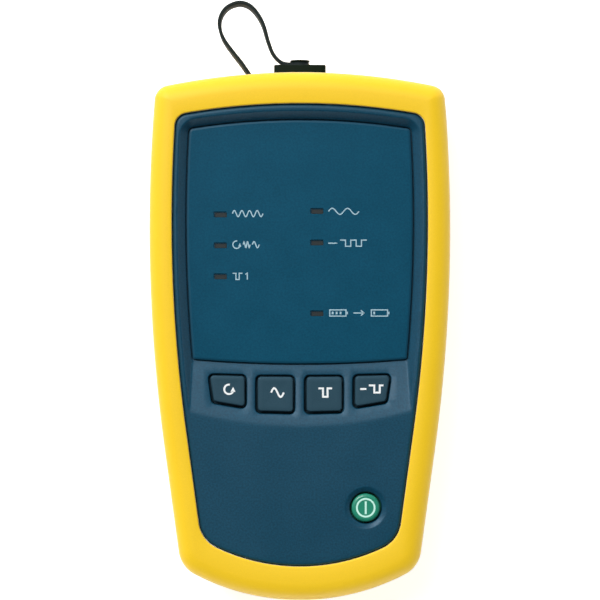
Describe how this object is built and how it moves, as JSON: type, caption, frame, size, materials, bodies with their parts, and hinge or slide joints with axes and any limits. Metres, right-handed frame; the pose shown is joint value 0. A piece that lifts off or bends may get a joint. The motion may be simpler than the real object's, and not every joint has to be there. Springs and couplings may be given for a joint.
{
  "type": "optical light source",
  "caption": "Handheld optical fibre light source in a yellow rubber boot, with label panel, keys, round power button, capped fibre port on a strap and a rear battery door.",
  "frame": {"origin": "middle of the body's plan on the plane of the boot's back lip, on which the instrument lies", "axes": "+Y along the body towards the fibre port, +Z out of the front face, +X to the right seen from the front"},
  "size_m": [0.0928, 0.1863, 0.038],
  "materials": {
    "boot_rubber": "bright yellow moulded elastomer, satin",
    "case_plastic": "fine-textured navy ABS",
    "seal_rubber": "black sealing cord",
    "label_film": "printed teal-blue overlay film, fine grain",
    "key_plastic": "slate-blue moulded key",
    "button_plastic": "green moulded button, satin",
    "mat_silicone": "translucent grey silicone",
    "spring_steel": "plain spring steel",
    "board_laminate": "green solder mask",
    "chip_resin": "black moulding resin",
    "lamp_resin": "clear to cream resin",
    "pipe_plastic": "smoked clear acrylic",
    "screw_steel": "zinc-plated steel",
    "port_plastic": "black moulded plastic",
    "sleeve_ceramic": "white ceramic",
    "block_metal": "machined aluminium",
    "can_metal": "gold-plated can",
    "strap_rubber": "black moulded elastomer",
    "cell_jacket": "plain grey jacket",
    "contact_metal": "nickel-plated strip"
  },
  "bodies": {
    "instrument": {"boot": "boot_rubber", "front_case": "case_plastic", "rear_case": "case_plastic", "case_seal": "seal_rubber", "label_panel": "label_film", "keypad_mat": "mat_silicone", "switch_domes": "spring_steel", "main_board": "board_laminate", "controller_chip": "chip_resin", "driver_chips": "chip_resin", "indicator_leds": "lamp_resin", "light_pipes": "pipe_plastic", "board_screws": "screw_steel", "fibre_adapter": "port_plastic", "alignment_sleeve": "sleeve_ceramic", "adapter_screws": "screw_steel", "source_block": "block_metal", "short_wave_emitter": "can_metal", "long_wave_emitter": "can_metal", "cap_strap": "strap_rubber", "strap_screw": "screw_steel", "left_cell": "cell_jacket", "right_cell": "cell_jacket", "contact_springs": "spring_steel", "contact_plates": "contact_metal", "case_screws": "screw_steel"},
    "key_1": {"key_1": "key_plastic"},
    "key_2": {"key_2": "key_plastic"},
    "key_3": {"key_3": "key_plastic"},
    "key_4": {"key_4": "key_plastic"},
    "power_button": {"power_button": "button_plastic"},
    "dust_cap": {"dust_cap": "port_plastic"},
    "battery_door": {"battery_door": "case_plastic"}
  },
  "joints": [
    {"name": "key_1_press", "type": "slide", "parent": "instrument", "child": "key_1", "axis": [0, 0, -1], "range_m": [0, 0.0008], "stiffness_N_per_m": 900, "deforming": ["keypad_mat"]},
    {"name": "key_2_press", "type": "slide", "parent": "instrument", "child": "key_2", "axis": [0, 0, -1], "range_m": [0, 0.0008], "stiffness_N_per_m": 900, "deforming": ["keypad_mat"]},
    {"name": "key_3_press", "type": "slide", "parent": "instrument", "child": "key_3", "axis": [0, 0, -1], "range_m": [0, 0.0008], "stiffness_N_per_m": 900, "deforming": ["keypad_mat"]},
    {"name": "key_4_press", "type": "slide", "parent": "instrument", "child": "key_4", "axis": [0, 0, -1], "range_m": [0, 0.0008], "stiffness_N_per_m": 900, "deforming": ["keypad_mat"]},
    {"name": "power_button_press", "type": "slide", "parent": "instrument", "child": "power_button", "axis": [0, 0, -1], "range_m": [0, 0.0008], "stiffness_N_per_m": 900, "deforming": ["keypad_mat"]},
    {"name": "dust_cap_pull", "type": "slide", "parent": "instrument", "child": "dust_cap", "axis": [0, 1, 0], "range_m": [0, 0.014], "deforming": ["cap_strap"]},
    {"name": "battery_door_hinge", "type": "hinge", "parent": "instrument", "child": "battery_door", "pos_m": [0, -0.00675, 0.0018], "axis": [1, 0, 0], "range_deg": [0, 75]}
  ]
}
